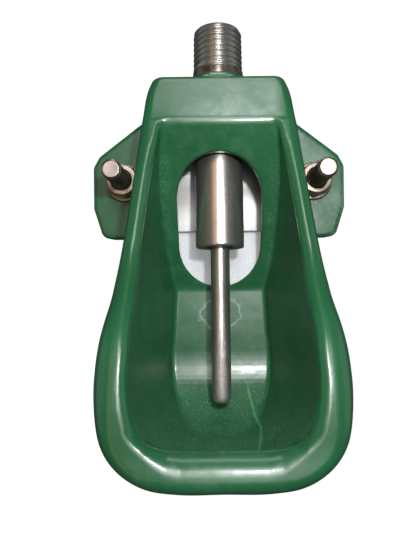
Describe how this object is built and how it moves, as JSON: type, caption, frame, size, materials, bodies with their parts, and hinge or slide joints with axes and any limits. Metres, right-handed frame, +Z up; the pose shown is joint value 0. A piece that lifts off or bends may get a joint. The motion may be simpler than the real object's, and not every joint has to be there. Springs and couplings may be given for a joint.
{
  "type": "livestock drinking bowl with push-pin valve",
  "caption": "Deep moulded drinking bowl for livestock, with a threaded inlet and a steel push-pin valve that opens when the hanging pin is pushed aside or upwards.",
  "frame": {"origin": "centre of the clamp plate's back face, midway between the two fixing studs", "axes": "+X to the right seen from the open front, +Y towards the wall, +Z up towards the inlet thread"},
  "size_m": [0.1124, 0.079, 0.1764],
  "materials": {
    "bowl_plastic": "moulded dark green polypropylene, glossy on the rim and head, satin and stained inside",
    "housing_steel": "turned stainless bar with fine lengthwise polish",
    "pin_steel": "drawn stainless rod, roughened towards the tip",
    "stud_steel": "stainless threaded stud with a sawn end",
    "fastener_steel": "bright stainless fasteners, slightly dulled",
    "plate_steel": "vertically brushed stainless flat bar",
    "spring_steel": "drawn spring wire",
    "seal_rubber": "moulded nitrile rubber",
    "seat_plastic": "natural acetal, matte",
    "disc_plastic": "coloured nylon, matte",
    "strainer_plastic": "moulded nylon, matte"
  },
  "bodies": {
    "bowl_and_valve": {"bowl": "bowl_plastic", "valve_housing": "housing_steel", "valve_seat": "seat_plastic", "valve_spring": "spring_steel", "spring_retainer": "seat_plastic", "flow_disc": "disc_plastic", "inlet_strainer": "strainer_plastic", "strainer_gasket": "seal_rubber", "head_lock_nut": "fastener_steel", "head_washer": "fastener_steel", "clamp_plate": "plate_steel", "stud_left": "stud_steel", "stud_right": "stud_steel", "flat_washer_left": "fastener_steel", "flat_washer_right": "fastener_steel", "spring_washer_left": "fastener_steel", "spring_washer_right": "fastener_steel", "hex_nut_left": "fastener_steel", "hex_nut_right": "fastener_steel"},
    "follower": {"spring_follower": "seat_plastic"},
    "seal": {"poppet_seal": "seal_rubber"},
    "pin": {"push_pin": "pin_steel"}
  },
  "joints": [
    {"name": "pin_lift", "type": "slide", "parent": "bowl_and_valve", "child": "follower", "axis": [0, 0.061, 0.9981], "range_m": [0, 0.002], "stiffness_N_per_m": 900, "springref_m": -0.004, "deforming": ["valve_spring"]},
    {"name": "pin_tilt_fore_aft", "type": "hinge", "parent": "follower", "child": "seal", "pos_m": [0, -0.0204, -0.01193], "axis": [1, 0, 0], "range_deg": [-4, 4], "stiffness_Nm_per_rad": 0.8},
    {"name": "pin_tilt_side", "type": "hinge", "parent": "seal", "child": "pin", "pos_m": [0, -0.0204, -0.01193], "axis": [0, 0.9981, -0.061], "range_deg": [-4, 4], "stiffness_Nm_per_rad": 0.8}
  ]
}
